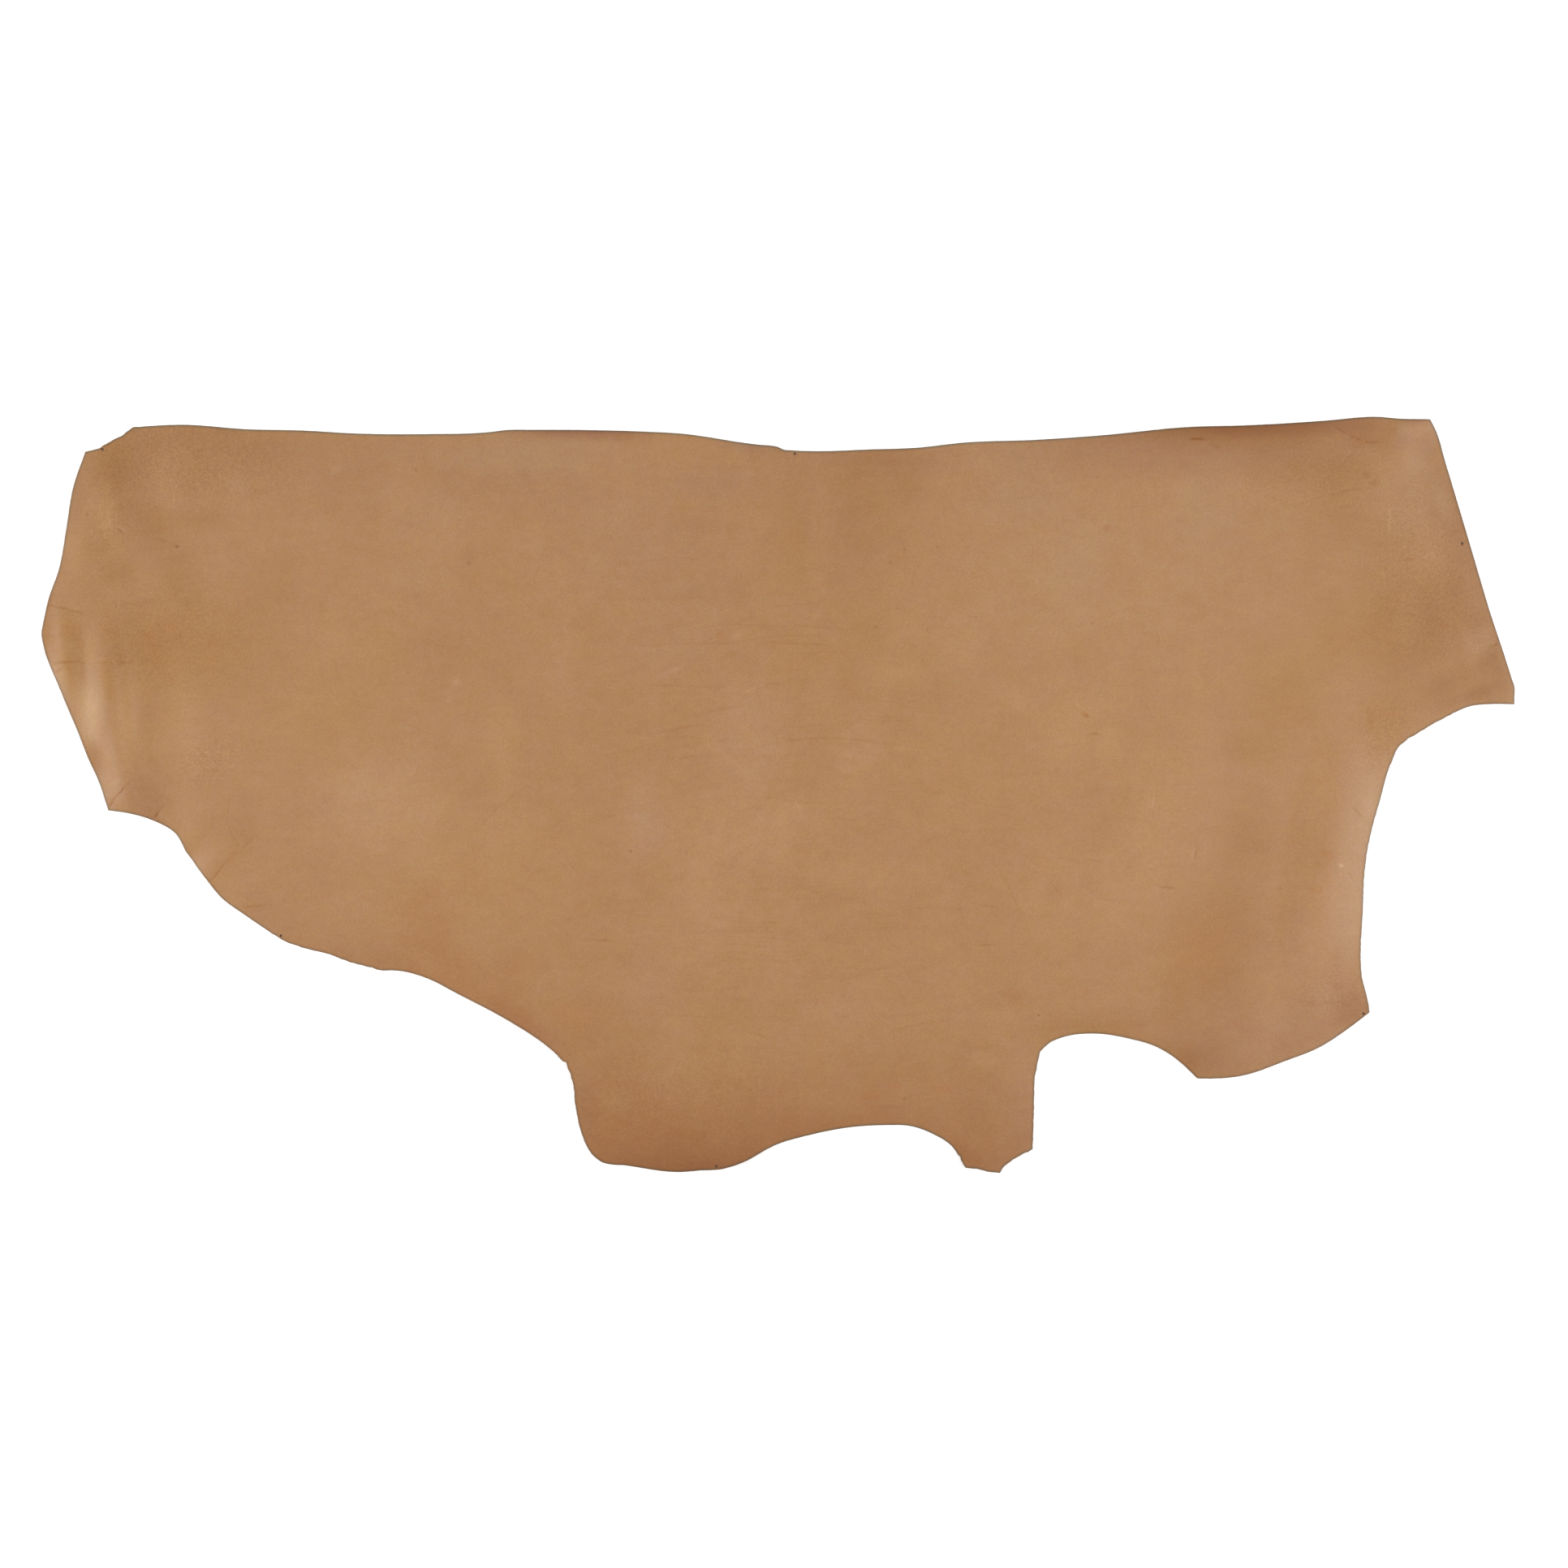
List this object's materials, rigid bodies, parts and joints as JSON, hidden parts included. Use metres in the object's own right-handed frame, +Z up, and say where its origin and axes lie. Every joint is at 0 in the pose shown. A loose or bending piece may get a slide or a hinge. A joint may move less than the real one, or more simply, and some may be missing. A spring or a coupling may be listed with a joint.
{
  "type": "leather hide",
  "caption": "Side of tanned cattle leather lying grain side up: a thin sheet with a straight back edge, a scalloped belly edge and low ripples at the neck.",
  "frame": {"origin": "on the resting surface, under the middle of the hide's bounding box", "axes": "+X along the back towards the rump end, +Y across the hide towards the straight back edge, +Z up out of the grain side"},
  "size_m": [2.3, 1.18, 0.0129],
  "materials": {
    "leather": "satin, smooth natural grain with faint creases"
  },
  "bodies": {
    "root": {"hide": "leather"}
  },
  "joints": []
}
